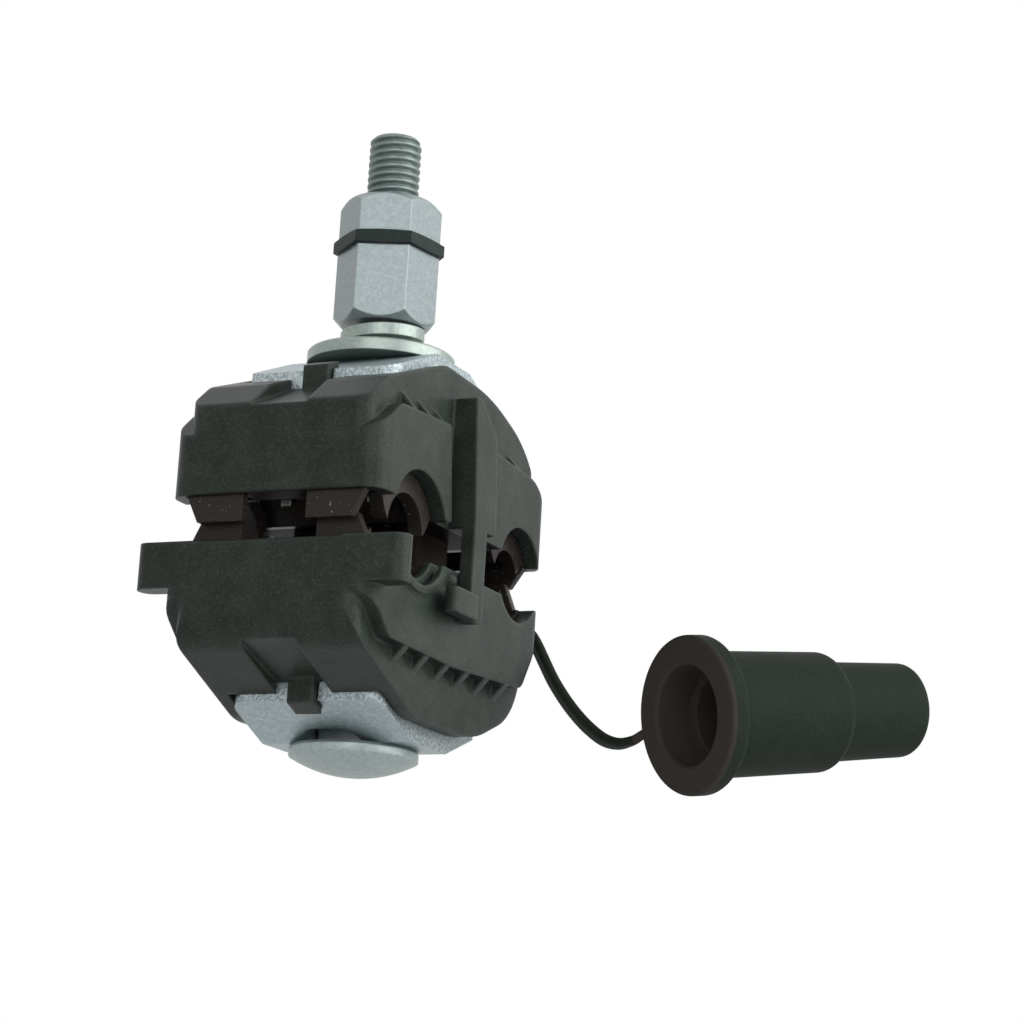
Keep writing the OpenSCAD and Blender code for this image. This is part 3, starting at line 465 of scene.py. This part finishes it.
# How far a point is from the nearest crest, in turns
turns = calc(thread_tree, "DIVIDE", calc(thread_tree, "ARCTAN2", apart["Y"], apart["X"]), math.tau)
rise = calc(thread_tree, "DIVIDE", apart["Z"], given["Pitch"])
phase = calc(thread_tree, "FRACT", calc(thread_tree, "SUBTRACT", rise, turns))
off_crest = calc(thread_tree, "ABSOLUTE", calc(thread_tree, "SUBTRACT", phase, 0.5))
groove = add(thread_tree, "ShaderNodeMapRange", {"Value": off_crest, "From Min": CREST_END,
                                                 "From Max": ROOT_START, "To Max": given["Depth"]},
             interpolation_type="SMOOTHSTEP").outputs[0]
threaded = calc(thread_tree, "SUBTRACT", given["Crest Radius"], groove)
# The tip is a cone, and the smaller radius wins
half = calc(thread_tree, "MULTIPLY", given["Length"], 0.5)
to_top = calc(thread_tree, "SUBTRACT", half, apart["Z"])
cone_foot = calc(thread_tree, "SUBTRACT", given["Crest Radius"], given["Depth"])
radius = calc(thread_tree, "MINIMUM", threaded, calc(thread_tree, "ADD", cone_foot, to_top))
share = calc(thread_tree, "DIVIDE", radius, given["Crest Radius"])
drawn_in = add(thread_tree, "ShaderNodeCombineXYZ", {0: share, 1: share, 2: 1.0}).outputs[0]
moved = vector_calc(thread_tree, "MULTIPLY", where, drawn_in)[0]
rolled = add(thread_tree, "GeometryNodeSetPosition", {"Geometry": rod.outputs["Mesh"],
                                                      "Position": moved})
placed = add(thread_tree, "GeometryNodeTransform", {"Geometry": rolled.outputs[0],
                                                    "Translation": given["Middle"]})
joined = add(thread_tree, "GeometryNodeJoinGeometry", {0: placed.outputs[0]})
thread_tree.links.new(given["Blank"], joined.inputs[0])
real = add(thread_tree, "GeometryNodeRealizeInstances", {0: joined.outputs[0]})
coated = add(thread_tree, "GeometryNodeSetMaterial", {"Geometry": real.outputs[0],
                                                      "Material": given["Finish"]})
add(thread_tree, "NodeGroupOutput", {0: coated.outputs[0]})

# %% Run the thread tree and keep its mesh
SEGMENTS_PER_PITCH = 10
THREAD_SHARP_FROM = math.radians(40)
thread_modifier = bolt_blank.modifiers.new("thread", "NODES")
thread_modifier.node_group = thread_tree
thread_sizes = {"Pitch": THREAD_PITCH, "Depth": THREAD_DEPTH, "Crest Radius": BOLT_R,
                "Length": THREAD_LONG, "Segments": round(THREAD_LONG / THREAD_PITCH * SEGMENTS_PER_PITCH),
                "Middle": (0, BOLT_Y, bolt_tip - THREAD_LONG / 2), "Finish": bolt_steel}
for socket_name, value in thread_sizes.items():
    thread_modifier[thread_sockets[socket_name].identifier] = value


def evaluated_copy(source, name):
    """A plain mesh object of what source's modifiers make; source itself is removed."""
    shown = source.evaluated_get(bpy.context.evaluated_depsgraph_get())
    mesh = bpy.data.meshes.new_from_object(shown)
    bpy.data.objects.remove(source)
    mesh.name = name
    piece = bpy.data.objects.new(name, mesh)
    bpy.context.scene.collection.objects.link(piece)
    return piece


threaded_bolt = evaluated_copy(bolt_blank, "threaded_bolt")
threaded_bolt.data.shade_smooth()
threaded_bolt.data.set_sharp_from_angle(angle=THREAD_SHARP_FROM)
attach(threaded_bolt, "lower")
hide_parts("bolt")
print("threaded bolt faces:", len(threaded_bolt.data.polygons))

# %% [markdown]
# ## Tether strap
# A flat rubber strap keeps the end cap with its connector. It leaves a boss on the back of the
# lower jaw, drops under the weight of the cap and rises to the cap's flange. The route repeats the
# CAD route, and a rounded ribbon section is swept along a smooth curve through its points.

# %% Tether strap
STRAP_WIDE = 4.0 * MM
STRAP_THICK = 1.8 * MM
STRAP_STEPS = 4
# The route is measured from the bolt's axis, and this is where that lies in the frame
BOLT_TO_FRAME = Vector((0, 21, -4.25)) * MM
STRAP_ROUTE = [Vector(p) * MM + BOLT_TO_FRAME for p in (
    (8, 33.5, -3.6), (8.3, 35, -3.5), (9.4, 36.6, -3.2), (11.2, 37.8, -2.6), (13.4, 38.2, -2.2),
    (15.6, 37.9, -2.4), (17.6, 37.3, -3.6), (19.4, 36.8, -6), (21.2, 36.4, -9), (23.4, 36, -12.6),
    (26.2, 35.7, -16.4), (29.2, 35.5, -19.8), (32.3, 35.3, -22.6), (35.4, 35.1, -24.6),
    (38.4, 35, -25.3), (41.2, 34.8, -24.8), (43.4, 34.6, -23.7), (45.4, 34.5, -22.6))]
STRAP_FACING = Vector((0.62, -0.76, 0.05)).normalized()


def smooth_route(points, steps):
    """Points on a Catmull-Rom curve through the given points."""
    padded = [2 * points[0] - points[1]] + points + [2 * points[-1] - points[-2]]
    line = []
    for a, b, c, d in zip(padded, padded[1:], padded[2:], padded[3:]):
        for k in range(steps):
            t = k / steps
            line.append(0.5 * (2 * b + (c - a) * t + (2 * a - 5 * b + 4 * c - d) * t * t
                               + (3 * b - a - 3 * c + d) * t ** 3))
    return line + [points[-1]]


def ribbon_section(wide, thick, corner_steps=4):
    """A flat strap's section with round long edges, counter-clockwise."""
    reach, radius = wide / 2 - thick / 2, thick / 2
    arc = [math.pi * (k / (2 * corner_steps) - 0.5) for k in range(2 * corner_steps + 1)]
    right = [(reach + radius * math.cos(a), radius * math.sin(a)) for a in arc]
    return right + [(-x, -y) for x, y in right]


strap_line = smooth_route(STRAP_ROUTE, STRAP_STEPS)
section = ribbon_section(STRAP_WIDE, STRAP_THICK)
bm = bmesh.new()
rings = []
for i, point in enumerate(strap_line):
    way = (strap_line[min(i + 1, len(strap_line) - 1)] - strap_line[max(i - 1, 0)]).normalized()
    thick_way = way.cross(STRAP_FACING).normalized()
    wide_way = thick_way.cross(way)
    rings.append([bm.verts.new(point + wide_way * x + thick_way * y) for x, y in section])
for low, high in zip(rings, rings[1:]):
    for i in range(len(section)):
        j = (i + 1) % len(section)
        bm.faces.new((low[i], low[j], high[j], high[i]))
bm.faces.new(rings[0][::-1])
bm.faces.new(rings[-1])
bmesh.ops.recalc_face_normals(bm, faces=bm.faces)
strap_mesh = bpy.data.meshes.new("rubber_strap")
bm.to_mesh(strap_mesh)
bm.free()
strap_mesh.shade_smooth()
strap_mesh.materials.append(cap_rubber)
rubber_strap = bpy.data.objects.new("rubber_strap", strap_mesh)
bpy.context.scene.collection.objects.link(rubber_strap)
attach(rubber_strap, "lower")
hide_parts("tether_strap")

# %% [markdown]
# ## Rubber lips at the tap mouth
# Rubber lips close most of the gap behind the branch wire and leave a notch at each end. The lips of
# the two jaws stand one behind the other, so that they can pass. They are soft.

# %% Rubber lips at the tap mouth
LIP_THICK = 1.8 * MM
LIP_EDGE = 0.25 * MM
LIP_EDGE_STEPS = 2
# For each body: the near face's y, the height to flatten towards, and the outline in x and z, in mm
LIPS = {
    "upper": (51.4, 6.25, [(7.4, 6.5), (7.4, 0.5), (15.4, 0.5), (18.0, 4.3), (18.0, 6.5)]),
    "lower": (49.4, -6.25, [(7.6, -6.5), (7.6, 1.1), (15.3, 1.1), (17.5, -4.3), (17.5, -6.5)]),
}


def lip_pair(name, near_y, outline):
    """A flat lip with rounded edges at each end of the mouth, as one mesh object."""
    bm = bmesh.new()
    for side in (1, -1):
        near = [bm.verts.new((side * x * MM, near_y, z * MM)) for x, z in outline]
        far = [bm.verts.new(v.co + Vector((0, LIP_THICK, 0))) for v in near]
        bm.faces.new(near)
        bm.faces.new(far)
        for i in range(len(near)):
            j = (i + 1) % len(near)
            bm.faces.new((near[i], near[j], far[j], far[i]))
    bmesh.ops.recalc_face_normals(bm, faces=bm.faces)
    bmesh.ops.bevel(bm, geom=bm.edges[:], offset=LIP_EDGE, segments=LIP_EDGE_STEPS, profile=0.5,
                    affect="EDGES")
    mesh = bpy.data.meshes.new(name)
    bm.to_mesh(mesh)
    bm.free()
    mesh.materials.append(seal_rubber)
    pair = bpy.data.objects.new(name, mesh)
    bpy.context.scene.collection.objects.link(pair)
    return pair


for body, (near_y, sink_z, outline) in LIPS.items():
    lips = lip_pair("tap_lips_" + body, near_y * MM, outline)
    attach(lips, body)
    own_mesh(lips)
print("lips at the tap mouth:", len(LIPS), "pairs")

# %% [markdown]
# ## Stage and light
# The background is white, so the world is white to the camera and in reflections, and weak as a
# light. The floor is matt white paper, which is lifted for the camera and white in reflections too.
# A large soft light stands on the right, where the jaws' end faces are lit, and a weaker one fills
# the front.

# %% Floor
FLOOR_HALF = 3.0
FLOOR_Z = -0.16
PAPER_COLOUR = linear("#f2f2f2")
PAPER_ROUGHNESS = 0.9
PAPER_LIFT = 0.6
floor_mesh = bpy.data.meshes.new("floor")
floor_mesh.from_pydata([(-FLOOR_HALF, -FLOOR_HALF, FLOOR_Z), (FLOOR_HALF, -FLOOR_HALF, FLOOR_Z),
                        (FLOOR_HALF, FLOOR_HALF, FLOOR_Z), (-FLOOR_HALF, FLOOR_HALF, FLOOR_Z)],
                       [], [(0, 1, 2, 3)])
floor = bpy.data.objects.new("floor", floor_mesh)
bpy.context.scene.collection.objects.link(floor)
floor_paint = bpy.data.materials.new("white_paper")
floor_paint.use_nodes = True
paper = floor_paint.node_tree
matt = paper.nodes["Principled BSDF"]
matt.inputs["Base Color"].default_value = PAPER_COLOUR
matt.inputs["Roughness"].default_value = PAPER_ROUGHNESS
paper_rays = add(paper, "ShaderNodeLightPath").outputs
lifted = calc(paper, "MULTIPLY", paper_rays["Is Camera Ray"], PAPER_LIFT)
shown = calc(paper, "MAXIMUM", lifted, paper_rays["Is Glossy Ray"])
glow = add(paper, "ShaderNodeEmission", {"Color": PAPER_COLOUR, "Strength": 1.0})
sheet = add(paper, "ShaderNodeMixShader", {0: shown, 1: matt.outputs[0], 2: glow.outputs[0]})
paper.links.new(sheet.outputs[0], paper.nodes["Material Output"].inputs["Surface"])
floor_mesh.materials.append(floor_paint)

# %% World and lamps
WORLD_FILL = 0.2
world = bpy.data.worlds.new("white_studio")
world.use_nodes = True
bpy.context.scene.world = world
sky = world.node_tree
rays = add(sky, "ShaderNodeLightPath").outputs
seen = calc(sky, "MAXIMUM", rays["Is Camera Ray"], rays["Is Glossy Ray"])
seen = calc(sky, "MAXIMUM", seen, rays["Is Transmission Ray"])
strength = ramp(sky, seen, 0.0, 1.0, low=WORLD_FILL)
sky.links.new(strength, sky.nodes["Background"].inputs["Strength"])
sky.nodes["Background"].inputs["Color"].default_value = (1, 1, 1, 1)


def soft_lamp(name, place, target, size, watts):
    """A square area lamp that faces a point of the object."""
    data = bpy.data.lights.new(name, "AREA")
    data.shape = "SQUARE"
    data.size = size
    data.energy = watts
    lamp = bpy.data.objects.new(name, data)
    bpy.context.scene.collection.objects.link(lamp)
    lamp.location = place
    lamp.rotation_euler = (Vector(target) - Vector(place)).to_track_quat("-Z", "Y").to_euler()


CENTRE = (0.0, BOLT_Y, 0.0)
soft_lamp("key_right", place=(0.82, 0.12, 0.3), target=CENTRE, size=1.0, watts=8.5)
soft_lamp("fill_front", place=(0.3, -0.78, 0.25), target=CENTRE, size=0.6, watts=2)

# %% [markdown]
# ## Colour view
# The colours are shown through Blender's Standard view transform.

# %% Colour view
bpy.context.scene.view_settings.view_transform = "Standard"
